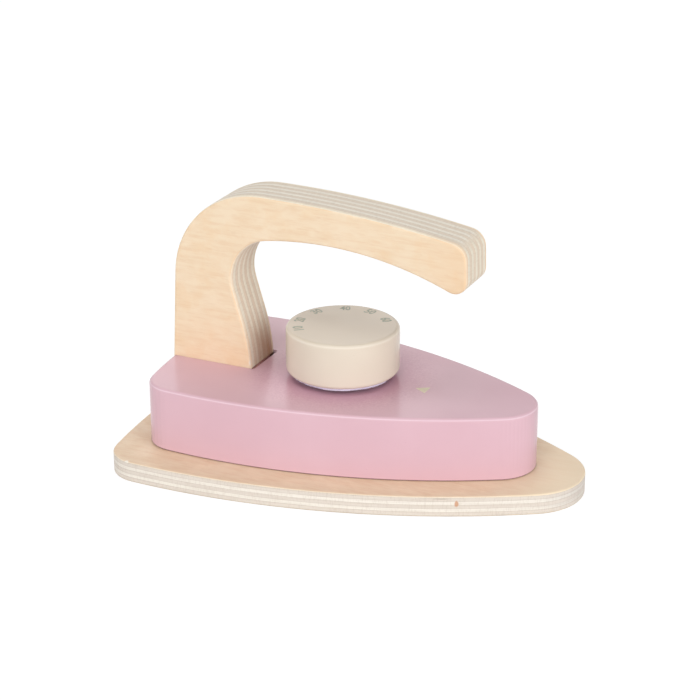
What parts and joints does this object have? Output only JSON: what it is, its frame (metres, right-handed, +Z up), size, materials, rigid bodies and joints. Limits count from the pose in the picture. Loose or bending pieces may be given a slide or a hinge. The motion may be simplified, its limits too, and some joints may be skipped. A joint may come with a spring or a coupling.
{
  "type": "toy iron",
  "caption": "Play iron of plywood and painted wood: boat-shaped sole, rounded body block, hooked laminated handle set in a rear notch, and a dial knob that turns on a hidden screw.",
  "frame": {"origin": "bottom centre of the sole plate's bounding box, on the surface that the toy stands on", "axes": "+X towards the nose, +Y to the far side (the toy is symmetrical about Y = 0), +Z up along the knob's axis"},
  "size_m": [0.172, 0.113, 0.1012],
  "materials": {
    "face_veneer": "smooth sanded birch, clear matt varnish",
    "long_veneer": "sanded veneer edge, grain along X",
    "cross_veneer": "sanded veneer edge, grain across X",
    "pink_paint": "satin pink paint on wood",
    "cream_paint": "satin cream paint on turned wood",
    "lilac_felt": "pressed wool felt, cut by hand",
    "beech": "bare beech",
    "nylon": "natural nylon",
    "steel": "zinc plated"
  },
  "bodies": {
    "iron": {"sole_ply_1": "face_veneer", "sole_ply_2": "cross_veneer", "sole_ply_3": "long_veneer", "sole_ply_4": "cross_veneer", "sole_ply_5": "long_veneer", "sole_ply_6": "cross_veneer", "sole_ply_7": "face_veneer", "body_block": "pink_paint", "body_dowels": "beech", "handle_ply_1": "face_veneer", "handle_ply_2": "cross_veneer", "handle_ply_3": "long_veneer", "handle_ply_4": "cross_veneer", "handle_ply_5": "long_veneer", "handle_ply_6": "cross_veneer", "handle_ply_7": "long_veneer", "handle_ply_8": "cross_veneer", "handle_ply_9": "long_veneer", "handle_ply_10": "cross_veneer", "handle_ply_11": "face_veneer", "handle_dowels": "beech", "spacer_washer": "nylon", "screw_washer": "steel"},
    "dial": {"knob": "cream_paint", "felt_disc": "lilac_felt", "knob_screw": "steel"}
  },
  "joints": [
    {"name": "knob_turn", "type": "hinge", "parent": "iron", "child": "dial", "pos_m": [-0.0096, 0, 0.0326], "axis": [0, 0, 1], "continuous": true}
  ]
}
